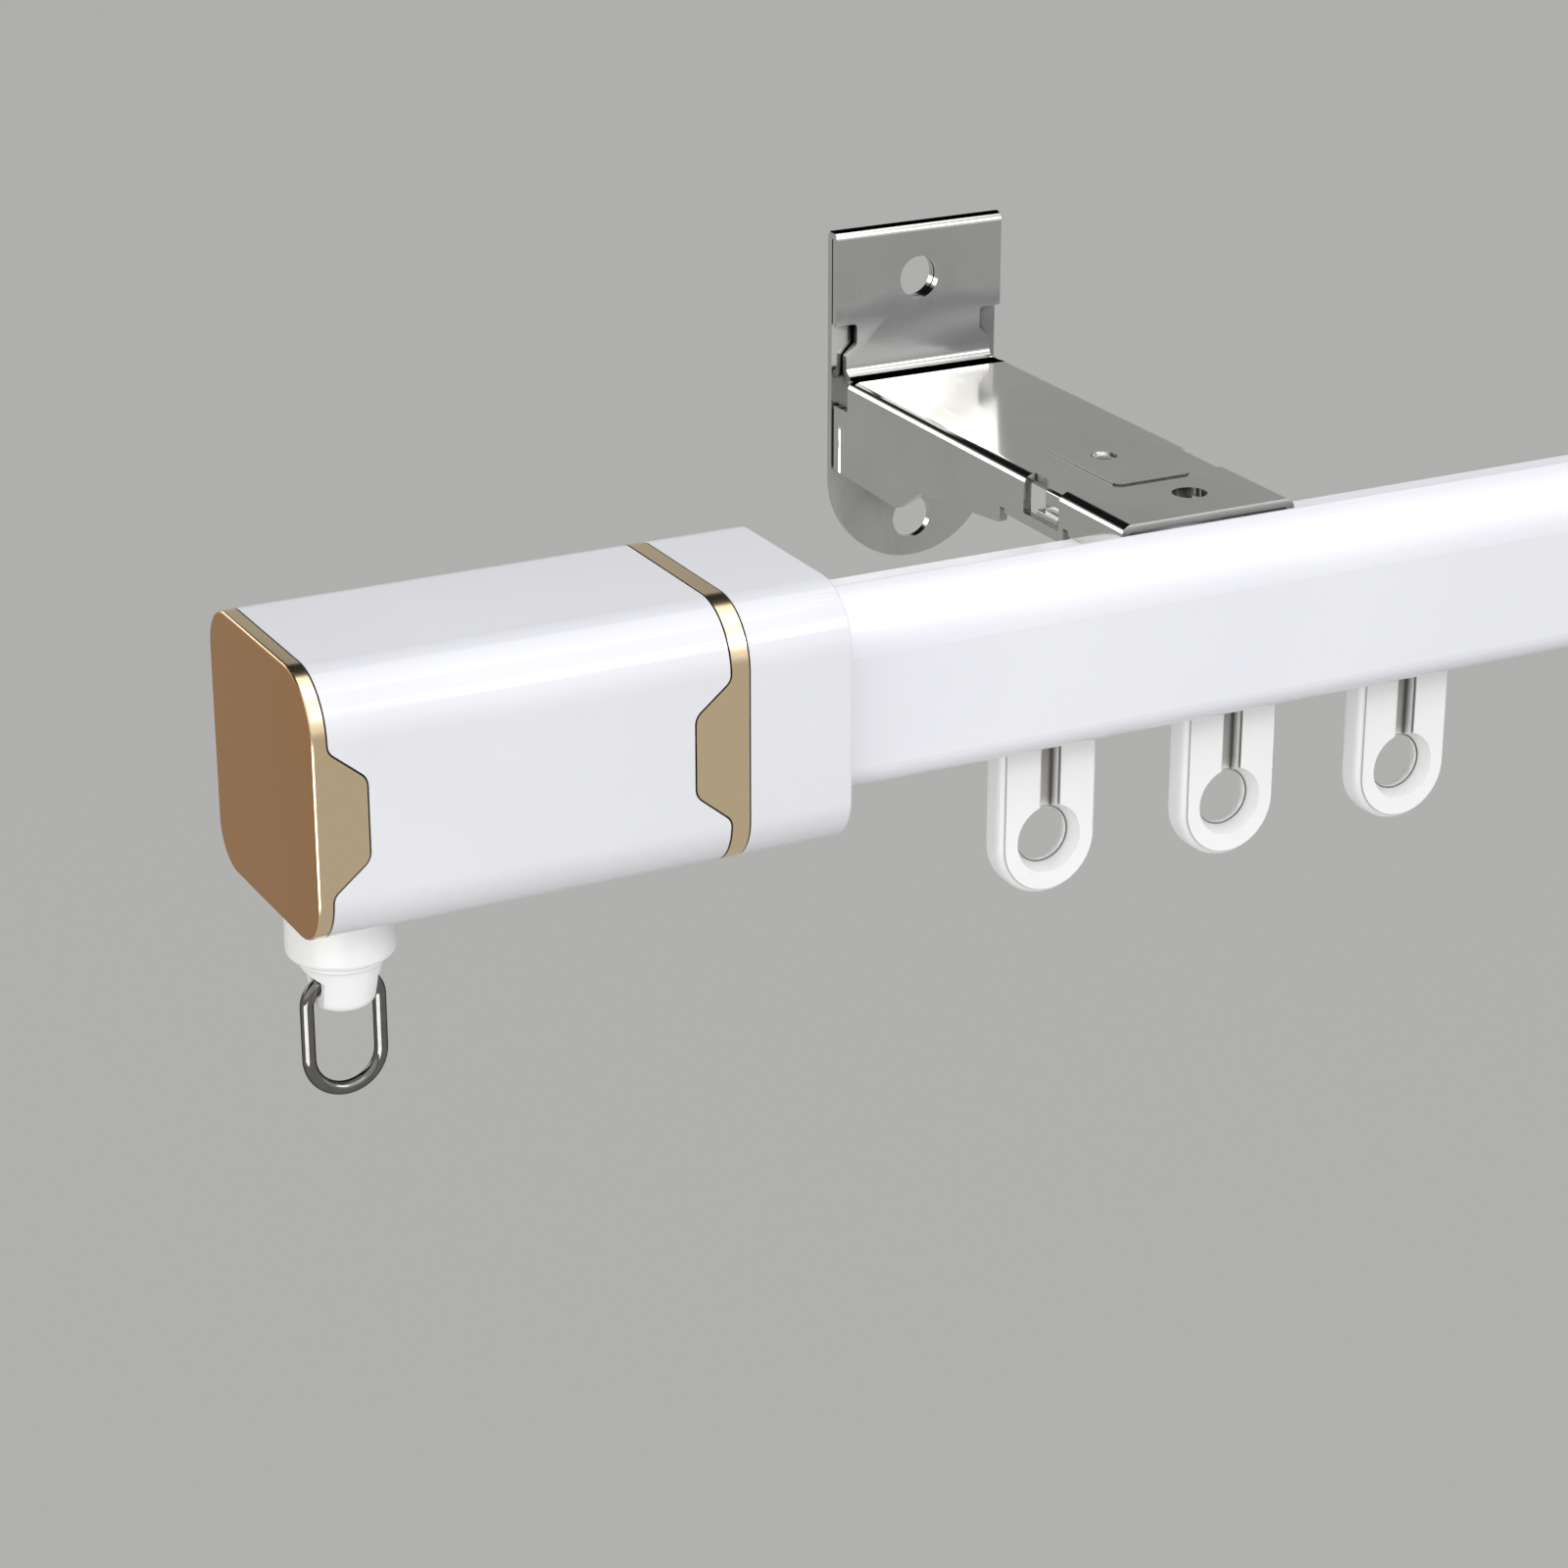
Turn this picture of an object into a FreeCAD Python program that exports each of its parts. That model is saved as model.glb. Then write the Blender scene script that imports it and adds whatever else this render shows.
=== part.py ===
import FreeCAD, Part
import os
from math import cos, hypot, radians, sin, sqrt, tan

V = FreeCAD.Vector

# Whole track, in millimetres: x runs along the rail, y towards the wall and z up
track_length = 600.0      # over the outer faces of both end plates
wall_distance = 99.7      # from the wall to the middle of the rail
fit_gap = 0.1             # between pieces that are pushed together
seam = 0.3                # open line between the trims and the white shell
merge = 0.5               # how deep the parts of one moulding or sheet run into each other
past = 1.0                # how far a cut runs past what it cuts
small_round = 0.4
soft_round = 0.8

# Rail: one aluminium extrusion, heights are from its underside
rail_width = 26.0
rail_wall = 1.2
deck_height = 27.0
chamber_height = 9.4      # web, closed hollow and deck over the channel
web_wall = 1.3
slot_half = 5.25
bottom_corner = 4.3
edge_round = 0.55
hook_drop = 4.0           # the hook's curve starts this far below the deck
hook_radius = 9.9
hook_sweep = 76.0
hook_wall = 1.5
bead_radius = 1.15
neck_back = 9.1           # rear wall under the rear flange
neck_drop = 2.7
slant_drop = 8.3
groove_top_half = 3.25
groove_bottom_half = 1.0
groove_depth = 2.8
rail_end_inset = 28.0     # from the end plate to the rail's end, inside the finial

# Liner: grey plastic runway clipped into the channel
liner_wall = 1.0
liner_slot_half = 4.0
liner_ridge = 0.9
liner_foot = 0.1
liner_round = 0.2

# Glider: moulded plate on two wheels
gliders_per_side = 3
glider_pitch = 36.0
glider_start = 136.5      # from the end plate to the first glider
glider_width = 19.0
glider_thick = 6.0
glider_headroom = 3.6     # from its top to the channel's
glider_drop = 29.5        # below the rail
glider_round = 1.6
face_inset = 1.1          # from the outline in to the raised flat face
face_step = 0.25
panel_half = 6.6
panel_drop = 9.15         # from the axle to the sunk panel's foot
panel_depth = 0.4
panel_round = 1.5
eye_drop = 19.3
eye_bore = 8.2
eye_land_bore = 9.2
eye_mouth = 11.4
web_half = 0.6
keyway_half = 1.5
keyway_top = -3.0
keyway_bevel = 0.5
insert_thick = 1.2
insert_half = 4.0
insert_foot = 3.5
insert_step = 0.8         # below the plate's top
insert_wing = 3.4
wheel_headroom = 1.7      # from the wheel's top to the liner
wheel_width = 3.6
wheel_middle = 7.1
wheel_chamfer = 1.2
dish_share = 0.6          # of the wheel's radius
dish_floor_share = 0.63   # of the dish's width, from the bore
dish_depth = 0.8
running_gap = 0.1
axle_radius = 1.5
axle_head_radius = 2.7
axle_head = 0.6
hub_radius = 2.3
hub_taper = 0.3

# Finial: moulded shell, collar and two gold trims
finial_front = 8.1        # finial beyond the rail, on the room side
finial_back = 8.8
finial_above = 4.8
finial_below = 5.6
finial_wall = 2.0
front_top_round = 10.1
front_bottom_round = 8.5
back_top_round = 7.3
back_bottom_round = 7.1
end_rim = 2.3
end_round = 0.5
lip_length = 4.0
lip_wall = 1.5
tab_middle = 15.0
tab_base_half = 11.4
tab_tip_half = 6.4
tab_reach = 6.1
tab_round = 2.4
tab_overlap = 3.0
band_start = 68.3
band_width = 2.9
collar_end = 89.3
collar_round = 0.6
spigot_start = 54.0
sleeve_wall = 1.6

# Swivel under the finial, with its oval wire ring
swivel_inset = 11.0       # from the end plate to the swivel's axis
base_radius = 8.6
base_height = 9.6
base_chamfer = 0.7
stem_radius = 6.0
snap_reach = 1.0
snap_height = 1.0
bore_radius = 3.1
head_pocket_radius = 4.6
head_pocket_depth = 2.0
eye_neck_gap = 0.1
eye_head_radius = 4.3
eye_head_height = 1.2
eye_flange_radius = 6.9
eye_flange_height = 0.8
eye_top_radius = 6.6
eye_foot_radius = 4.9
eye_height = 7.6
eye_foot_round = 1.8
eye_flat_top = 4.4
eye_flat_foot = 4.2
eye_shoulder = 0.6
ring_wire_radius = 1.1
ring_bend = 6.0           # of its round foot, to the middle of the wire
ring_shoulder = 4.0       # of its two upper bends
ring_straight = 8.9
ring_hole_depth = 3.5     # ring's axis below the boss's flange
ring_gap = 0.12
flare_share = 0.98        # share of a shoulder's inner bend that the flared hole follows

# Bracket: one folded steel sheet
bracket_inset = 166.0     # from the end plate to the bracket's middle
sheet = 1.5
hem_gap = 0.4
plate_margin = 0.3        # wall plate beyond the arm, each side
plate_top = 60.8
screw_hole = 8.0
screw_hole_high = 50.5
screw_hole_low = 3.5
tongue_foot = -4.0
notch_rise = 9.5          # from the arm's top to the notch's
notch_depth = 4.3
notch_height = 3.9
strip_inset = 1.8         # sheet between the notches, narrower than the arm each side
strip_rise = 3.5
arm_width = 34.0
arm_rise = 6.7            # arm's top over the rail's deck
arm_bend = 2.0
fold_radius = 1.5
arm_front = 2.8           # arm's front end beyond the rail's middle
flange_drop = 11.5        # this and the other drops are from the deck
flange_slope = 0.8
flange_round = 1.5
step_back = 73.7
step_front = 65.0
step_rise = 5.2
shallow_drop = 4.1
shallow_front = 36.6
mouth_drop = 2.0
mouth_front = 14.0
nick = 1.6
toe_reach = 8.7
toe_height = 1.2
toe_slope = 3.6
toe_rise = 2.6
brow_rise = 3.2
relief_rise = 0.8
relief_reach = 3.8        # the flanges stop this far in front of the front layer
seat_gap = 0.05
pad_offset = 1.0
pad_width = 15.0
pad_length = 22.5
pad_middle = 27.0
pad_rise = 0.3
pad_round = 1.5
pad_hole = 4.6
pad_hole_offset = 0.3
pad_hole_back = 31.0
round_hole = 6.0
round_hole_offset = 2.6
round_hole_back = 7.3
window_front = 17.2
window_back = 28.7
window_drop = 0.1
window_depth = 0.9        # inwards of the flange's inner face

# Latch: folded steel slider that grips the rail's rear flange
latch_sheet = 1.2
latch_gap = 0.2
latch_travel = 4.0
latch_back = 40.0
latch_front = 14.6
latch_side_gap = 1.9
ear_front = 17.5
ear_length = 7.0
ear_gap = 0.3
ear_drop = 4.2            # from the latch's plate to the lip's underside
lip_sheet = 0.9
claw_half = 8.0
claw_tip = 10.2
claw_gap = 0.3
rivet_shank = 3.0
rivet_head = 7.0
rivet_head_height = 1.2
rivet_dome = 0.5

half_length = track_length / 2
rail_half = rail_width / 2
hook_middle = hook_radius - rail_half
hook_start = deck_height - hook_drop
neck_foot = deck_height - neck_drop
slant_foot = deck_height - slant_drop
channel_height = deck_height - chamber_height
runway_height = rail_wall + fit_gap + liner_wall
runway_room = channel_height - fit_gap - liner_wall - runway_height
wheel_radius = (runway_room - wheel_headroom) / 2
axle_height = runway_height + wheel_radius + running_gap
panel_foot = axle_height - panel_drop
glider_top = channel_height - glider_headroom
insert_top = glider_top - insert_step
insert_wing_foot = insert_top - insert_wing
hook_top = hook_start + hook_radius * sin(radians(hook_sweep))
arm_top = deck_height + arm_rise
mouth_foot = deck_height - mouth_drop
plate_width = arm_width + 2 * plate_margin
strip_half = arm_width / 2 - strip_inset
strip_foot = arm_top + strip_rise
notch_top = arm_top + notch_rise
notch_foot = notch_top - notch_height
latch_half = arm_width / 2 - sheet - latch_side_gap
mount_height = (screw_hole_high + screw_hole_low) / 2


def unit(a, b):
    length = hypot(b[0] - a[0], b[1] - a[1])
    return (b[0] - a[0]) / length, (b[1] - a[1]) / length


def corner_arc(before, corner, after):
    """Start, middle and end of the arc that rounds one corner of an outline."""
    back = unit(corner, before)
    on = unit(corner, after)
    radius = corner[2]
    if radius == 0:
        return [(corner[0], corner[1])]
    half_cos = sqrt(max(0.0, (1 + back[0] * on[0] + back[1] * on[1]) / 2))
    half_sin = sqrt(1 - half_cos ** 2)
    run = radius * half_cos / half_sin
    sum_length = 2 * half_cos
    bisector = ((back[0] + on[0]) / sum_length, (back[1] + on[1]) / sum_length)
    reach = radius / half_sin - radius
    return [
        (corner[0] + back[0] * run, corner[1] + back[1] * run),
        (corner[0] + bisector[0] * reach, corner[1] + bisector[1] * reach),
        (corner[0] + on[0] * run, corner[1] + on[1] * run),
    ]


def rounded_face(corners, place):
    """Flat face from corners (a, b, rounding), set in space by place(a, b)."""
    arcs = [
        corner_arc(corners[i - 1], corners[i], corners[(i + 1) % len(corners)])
        for i in range(len(corners))
    ]
    edges = []
    for i, arc in enumerate(arcs):
        points = [place(*point) for point in arc]
        if len(points) == 3:
            edges.append(Part.Arc(*points).toShape())
        following = place(*arcs[(i + 1) % len(arcs)][0])
        if points[-1].distanceToPoint(following) > 1e-6:
            edges.append(Part.LineSegment(points[-1], following).toShape())
    return Part.Face(Part.Wire(edges))


def along_x(corners, start, end):
    """Bar with a section of corners (y, z, rounding)."""
    face = rounded_face(corners, lambda y, z: V(start, y, z))
    return face.extrude(V(end - start, 0, 0))


def along_y(corners, start, end):
    """Plate with an outline of corners (x, z, rounding)."""
    face = rounded_face(corners, lambda x, z: V(x, start, z))
    return face.extrude(V(0, end - start, 0))


def along_z(corners, start, end):
    """Plate with an outline of corners (x, y, rounding)."""
    face = rounded_face(corners, lambda x, y: V(x, y, start))
    return face.extrude(V(0, 0, end - start))


def rectangle(a0, a1, b0, b1, rounding=0.0):
    return [(a0, b0, rounding), (a1, b0, rounding), (a1, b1, rounding), (a0, b1, rounding)]


def mirrored(corners):
    return [(-a, b, rounding) for a, b, rounding in reversed(corners)]


def spun(corners):
    """Turned piece about the z axis from corners (radius, z, rounding)."""
    face = rounded_face(corners, lambda r, z: V(r, 0, z))
    return face.revolve(V(0, 0, 0), V(0, 0, 1), 360)


def bored(radius, middle, direction, length):
    """Cylinder of the given radius, centred on middle along direction."""
    start = middle - direction * (length / 2)
    return Part.makeCylinder(radius, length, start, direction)


def edges_at(shape, axis, value):
    """Edges that lie wholly at one x, y or z."""
    low, high = axis + "Min", axis + "Max"
    return [
        edge for edge in shape.Edges
        if abs(getattr(edge.BoundBox, low) - value) < 1e-4
        and abs(getattr(edge.BoundBox, high) - value) < 1e-4
    ]


# Rail and liner


def hook_face_y(radius, height):
    """Depth of the hook's curved wall at a height, for one of its radii."""
    return hook_middle - sqrt(radius ** 2 - (height - hook_start) ** 2)


def rail_outline():
    inner = rail_half - rail_wall
    under_deck = deck_height - rail_wall
    deck_front = hook_face_y(hook_radius - hook_wall / 2, deck_height)
    groove_foot = deck_height - groove_depth
    groove = [
        (groove_bottom_half, groove_foot, soft_round),
        (groove_top_half, deck_height, soft_round),
    ]
    return [
        (-slot_half, 0, edge_round), (-rail_half, 0, bottom_corner),
        (-rail_half, hook_start, 0), (deck_front, deck_height, 0),
        *mirrored(groove), *groove,
        (rail_half, deck_height, edge_round), (rail_half, under_deck, edge_round),
        (neck_back, under_deck, small_round), (neck_back, neck_foot, soft_round),
        (rail_half, slant_foot, soft_round), (rail_half, 0, bottom_corner),
        (slot_half, 0, edge_round), (slot_half, rail_wall, edge_round),
        (inner, rail_wall, bottom_corner - rail_wall), (inner, channel_height, soft_round),
        (-inner, channel_height, soft_round), (-inner, rail_wall, bottom_corner - rail_wall),
        (-slot_half, rail_wall, edge_round),
    ]


def hook_outline():
    half_turn = tan(radians(hook_sweep / 2))
    direction = sin(radians(hook_sweep)), cos(radians(hook_sweep))
    run = hook_radius * half_turn
    corner = hook_start + run
    tip = -rail_half + run * direction[0], corner + run * direction[1]
    inner = tip[0] + hook_wall * direction[1], tip[1] - hook_wall * direction[0]
    inner_radius = hook_radius - hook_wall
    outline = [
        (-rail_half, channel_height, 0), (-rail_half, corner, hook_radius), (*tip, 0),
        (*inner, 0), (hook_wall - rail_half, hook_start + inner_radius * half_turn, inner_radius),
        (hook_wall - rail_half, channel_height, 0),
    ]
    bead = tip[0] + bead_radius * direction[1], tip[1] - bead_radius * direction[0]
    return outline, bead


def chamber_outline():
    """Closed hollow between the channel and the grooved deck."""
    roof = deck_height - rail_wall
    floor = channel_height + web_wall
    front = hook_wall - rail_half
    run_out = hypot(groove_top_half - groove_bottom_half, groove_depth)
    lean = (groove_top_half - groove_bottom_half) / groove_depth
    shift = rail_wall * run_out / groove_depth
    groove = [
        (groove_bottom_half + shift - rail_wall * lean, roof - groove_depth, small_round),
        (groove_top_half + shift - rail_wall * lean, roof, small_round),
    ]
    slant = (rail_half - neck_back) / (neck_foot - slant_foot)
    slant_shift = rail_wall * sqrt(1 + slant ** 2)
    back = neck_back - rail_wall
    slant_at = lambda height: rail_half - slant_shift - (height - slant_foot) * slant
    slant_top = slant_foot + (rail_half - slant_shift - back) / slant
    return [
        (front, floor, small_round), (front, hook_start, 0),
        (hook_face_y(hook_radius - hook_wall, roof), roof, small_round),
        *mirrored(groove), *groove,
        (back, roof, small_round), (back, slant_top, small_round),
        (slant_at(floor), floor, small_round),
    ]


def rail():
    end = half_length - rail_end_inset
    body = along_x(rail_outline(), -end, end)
    outline, bead = hook_outline()
    hook = along_x(outline, -end, end)
    roll = Part.makeCylinder(bead_radius, 2 * end, V(-end, *bead), V(1, 0, 0))
    whole = body.multiFuse([hook, roll]).removeSplitter()
    return whole.cut(along_x(chamber_outline(), -end, end))


def liner():
    end = half_length - rail_end_inset
    outer = rail_half - rail_wall - fit_gap
    low = rail_wall + fit_gap
    high = channel_height - fit_gap
    inner = outer - liner_wall
    floor = low + liner_wall
    lip = slot_half - fit_gap
    corner = bottom_corner - rail_wall - fit_gap
    outside = [
        (liner_slot_half, liner_foot, liner_round), (lip, liner_foot, liner_round), (lip, low, 0),
        (outer, low, corner), (outer, high, soft_round),
    ]
    inside = [
        (inner, high - liner_wall, soft_round), (inner, floor, corner - liner_wall),
        (lip, floor, liner_round), (lip - liner_round, floor + liner_ridge, liner_round),
        (liner_slot_half, floor + liner_ridge, liner_round),
    ]
    section = outside + mirrored(outside) + mirrored(inside) + inside
    return along_x(section, -end, end)


# Gliders, each built about its own middle at x = 0


def stadium(half, low, high):
    return rectangle(-half, half, low, high, half)


def glider_eye():
    """Hole for the curtain hook, countersunk from both faces to a thin ring."""
    middle = V(0, 0, -eye_drop)
    face = glider_thick / 2
    cone = Part.makeCone(eye_land_bore / 2, eye_mouth / 2, face - web_half,
                         middle + V(0, web_half, 0), V(0, 1, 0))
    other = cone.mirror(middle, V(0, 1, 0))
    return bored(eye_bore / 2, middle, V(0, 1, 0), glider_thick).multiFuse([cone, other])


def glider_keyway():
    """Slot above the eye, sunk from both faces to the same thin ring."""
    face = glider_thick / 2
    foot = -eye_drop
    slot = rectangle(-keyway_half, keyway_half, foot, keyway_top, keyway_half)
    slot[0] = (-keyway_half, foot, 0)
    slot[1] = (keyway_half, foot, 0)
    wide = keyway_half + keyway_bevel
    rim = rectangle(-wide, wide, foot, keyway_top + keyway_bevel, wide)
    rim[0] = (-wide, foot, 0)
    rim[1] = (wide, foot, 0)
    deep = along_y(slot, web_half, face)
    shallow = along_y(rim, face - keyway_bevel, face)
    one_side = deep.fuse(shallow)
    return one_side.fuse(one_side.mirror(V(0, 0, 0), V(0, 1, 0)))


def insert_outline(grow):
    wing = glider_width / 2
    right = [
        (insert_half + grow, insert_foot - grow, 0),
        (insert_half + grow, insert_wing_foot - grow, 0),
        (wing, insert_wing_foot - grow, 0), (wing, insert_top + grow, 0),
    ]
    return right + mirrored(right)


def glider_body():
    half = glider_width / 2
    face = glider_thick / 2
    low_face = face - face_step
    plate = along_y(stadium(half, -glider_drop, glider_top), -low_face, low_face)
    rims = edges_at(plate, "Y", -low_face) + edges_at(plate, "Y", low_face)
    plate = plate.makeFillet(glider_round, rims)
    raised = stadium(half - face_inset, face_inset - glider_drop, glider_top - face_inset)
    plate = plate.fuse(along_y(raised, -face, face)).removeSplitter()
    panel_top = glider_top - (half - panel_half)
    sunk = rectangle(-panel_half, panel_half, panel_foot, panel_top, panel_half)
    sunk[:2] = [(-panel_half, panel_foot, panel_round), (panel_half, panel_foot, panel_round)]
    panel = along_y(sunk, face - panel_depth, face)
    pocket_face = insert_thick / 2 + seat_gap
    pocket = along_y(insert_outline(seat_gap), -pocket_face, pocket_face)
    axle_bore = bored(axle_radius + seat_gap, V(0, 0, axle_height), V(0, 1, 0), glider_thick)
    cuts = [panel, panel.mirror(V(0, 0, 0), V(0, 1, 0)), pocket, axle_bore]
    return plate.cut(cuts + [glider_eye(), glider_keyway()])


def glider_insert():
    half = glider_width / 2
    face = insert_thick / 2
    plate = along_y(insert_outline(0), -face, face)
    inset = 4 * seat_gap
    arch = along_y(stadium(half - inset, -glider_drop, glider_top - inset), -face, face)
    bore = bored(axle_radius + seat_gap, V(0, 0, axle_height), V(0, 1, 0), glider_thick)
    return plate.common(arch).cut(bore)


def glider_axle():
    """Turned pin with a cone each side of the plate and a head outside each wheel."""
    plate_face = glider_thick / 2 - panel_depth
    wheel_in = wheel_middle - wheel_width / 2
    wheel_out = wheel_middle + wheel_width / 2 + running_gap
    collar = wheel_in + dish_depth - running_gap
    right = [
        (axle_radius, plate_face, 0), (hub_radius, plate_face, 0),
        (hub_radius - hub_taper, collar, 0), (axle_radius, collar, 0),
        (axle_radius, wheel_out, 0), (axle_head_radius, wheel_out, 0),
        (axle_head_radius - axle_head, wheel_out + axle_head, 0), (0, wheel_out + axle_head, 0),
    ]
    left = [(r, -z, rounding) for r, z, rounding in reversed(right)]
    pin = spun(right + left)
    pin.rotate(V(0, 0, 0), V(1, 0, 0), -90)
    pin.translate(V(0, 0, axle_height))
    return pin


def glider_wheel(side):
    """Black wheel with chamfered edges and a dish on the side of the plate."""
    half = wheel_width / 2
    bore = axle_radius + running_gap
    dish = wheel_radius * dish_share
    dish_floor = bore + (dish - bore) * dish_floor_share
    shoulder = wheel_radius - wheel_chamfer
    section = [
        (bore, dish_depth - half, 0), (dish_floor, dish_depth - half, 0),
        (dish, -half, 0), (shoulder, -half, 0), (wheel_radius, wheel_chamfer - half, 0),
        (wheel_radius, half - wheel_chamfer, 0), (shoulder, half, 0), (bore, half, 0),
    ]
    wheel = spun(section)
    wheel.rotate(V(0, 0, 0), V(1, 0, 0), -90)
    wheel.translate(V(0, wheel_middle, axle_height))
    return wheel if side > 0 else wheel.mirror(V(0, 0, 0), V(0, 1, 0))


# Finial, built for the left end with its outer face at x = 0


def finial_section(inset):
    front = inset - rail_half - finial_front
    back = rail_half + finial_back - inset
    low = inset - finial_below
    high = hook_top + finial_above - inset
    return [
        (front, low, front_bottom_round - inset), (back, low, back_bottom_round - inset),
        (back, high, back_top_round - inset), (front, high, front_top_round - inset),
    ]


def trim_tab(foot, tip):
    """Outline of a trim's tab, from a line at x = foot to its tip."""
    shift = tab_overlap if tip > foot else -tab_overlap
    side = [
        (foot - shift, tab_middle + tab_base_half + tab_overlap, 0),
        (foot, tab_middle + tab_base_half + tab_overlap, 0),
        (foot, tab_middle + tab_base_half, tab_round),
        (tip, tab_middle + tab_tip_half, tab_round),
    ]
    return side + [(x, 2 * tab_middle - z, rounding) for x, z, rounding in reversed(side)]


def tab_pair(foot, tip, grow=0.0):
    """The tab on the front and on the back, cut to the finial's outline."""
    start = -rail_half - finial_front - grow
    end = rail_half + finial_back + grow
    face = rounded_face(trim_tab(foot, tip), lambda x, z: V(x, start, z))
    if grow:
        face = face.makeOffset2D(grow)
    front = face.extrude(V(0, finial_wall + grow, 0))
    back = front.copy()
    back.translate(V(0, end - start - finial_wall - grow, 0))
    return front, back


def finial_bar(inset, start, end):
    return along_x(finial_section(inset), start, end)


def end_plate():
    tip = end_rim + tab_reach
    plate = finial_bar(0, 0, end_rim)
    plate = plate.makeFillet(end_round, edges_at(plate, "X", 0))
    lip_end = end_rim + lip_length
    lip = finial_bar(finial_wall + fit_gap, end_rim - merge, lip_end)
    lip = lip.cut(finial_bar(finial_wall + fit_gap + lip_wall, end_rim, lip_end))
    within = finial_bar(0, end_rim - merge, tip + past)
    tabs = [tab.common(within) for tab in tab_pair(end_rim, tip)]
    stem_room = bored(stem_radius + snap_reach + fit_gap, V(swivel_inset, 0, -finial_below),
                      V(0, 0, 1), 4 * finial_wall)
    return plate.multiFuse([lip.cut(stem_room), *tabs]).removeSplitter()


def finial_shell():
    start = end_rim + seam
    end = band_start - seam
    tube = finial_bar(0, start, end).cut(finial_bar(finial_wall, start, end))
    notches = [
        *tab_pair(end_rim, end_rim + tab_reach, seam),
        *tab_pair(band_start, band_start - tab_reach, seam),
    ]
    stem_hole = bored(stem_radius + fit_gap, V(swivel_inset, 0, -finial_below),
                      V(0, 0, 1), 3 * finial_wall)
    return tube.cut([*notches, stem_hole])


def trim_band():
    end = band_start + band_width
    tip = band_start - tab_reach
    within = finial_bar(0, tip - past, band_start + merge)
    tabs = [tab.common(within) for tab in tab_pair(band_start, tip)]
    ring = finial_bar(0, band_start, end).multiFuse(tabs)
    return ring.cut(finial_bar(finial_wall, tip - past, end)).removeSplitter()


def rail_sleeve(grow):
    """Outline round the rail, where the collar is pushed onto it."""
    half = rail_half + grow
    radius = hook_radius + grow
    step = hook_outline()[1][0] + bead_radius + grow
    crown = hook_start + radius * tan(radians(hook_sweep / 2))
    return [
        (-half, -grow, bottom_corner + grow), (half, -grow, bottom_corner + grow),
        (half, deck_height + grow, edge_round), (step, deck_height + grow, edge_round),
        (step, crown + (step + half) / tan(radians(hook_sweep)), edge_round), (-half, crown, radius),
    ]


def finial_collar():
    start = band_start + band_width + seam
    ring = finial_bar(0, start, collar_end)
    ring = ring.makeFillet(collar_round, edges_at(ring, "X", collar_end))
    spigot = finial_bar(finial_wall + fit_gap, spigot_start, start)
    opening = along_x(rail_sleeve(fit_gap), spigot_start, collar_end)
    pocket_end = collar_end - finial_wall
    pocket = finial_bar(2 * finial_wall + fit_gap, spigot_start, pocket_end)
    sleeve = along_x(rail_sleeve(fit_gap + sleeve_wall), spigot_start, pocket_end)
    return ring.fuse(spigot).cut([opening, pocket.cut(sleeve)]).removeSplitter()


# Swivel and ring, built about the swivel's axis at x = 0


def swivel_base():
    """White round foot, snapped into the shell's underside."""
    seat = -finial_below
    foot = seat - base_height
    snap = seat + finial_wall + fit_gap
    top = snap + snap_height
    return spun([
        (bore_radius, foot, 0), (base_radius - base_chamfer, foot, 0),
        (base_radius, foot + base_chamfer, 0), (base_radius, seat, 0),
        (stem_radius, seat, 0), (stem_radius, snap, 0), (stem_radius + snap_reach, snap, 0),
        (stem_radius, top, 0), (head_pocket_radius, top, 0),
        (head_pocket_radius, top - head_pocket_depth, 0), (bore_radius, top - head_pocket_depth, 0),
    ])


def swivel_levels():
    """Heights of the boss: its flange's top, its foot and the ring's axis."""
    top = -finial_below - base_height - eye_neck_gap
    return top, top - eye_flange_height - eye_height, top - eye_flange_height - ring_hole_depth


def swivel_eye():
    """Turning boss with two flats and a flared hole along x for the ring."""
    top, foot, axis = swivel_levels()
    cone_top = top - eye_flange_height
    shelf = -finial_below + finial_wall + fit_gap + snap_height - head_pocket_depth + eye_neck_gap
    neck = bore_radius - eye_neck_gap
    boss = spun([
        (0, foot, 0), (eye_foot_radius, foot, eye_foot_round), (eye_top_radius, cone_top, 0),
        (eye_flange_radius, cone_top, 0), (eye_flange_radius, top, 0), (neck, top, 0),
        (neck, shelf, 0), (eye_head_radius, shelf, 0),
        (eye_head_radius, shelf + eye_head_height, 0), (0, shelf + eye_head_height, 0),
    ])
    wedge_high = cone_top - eye_shoulder
    flank = [
        (eye_flat_foot, foot - past, 0), (eye_flat_top, axis + ring_wire_radius, 0),
        (eye_flange_radius, wedge_high, 0), (2 * eye_flange_radius, wedge_high, 0),
        (2 * eye_flange_radius, foot - past, 0),
    ]
    wide = eye_flange_radius
    flats = [along_y(flank, -wide, wide), along_y(mirrored(flank), -wide, wide)]
    return boss.cut([*flats, ring_hole(axis)])


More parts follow.
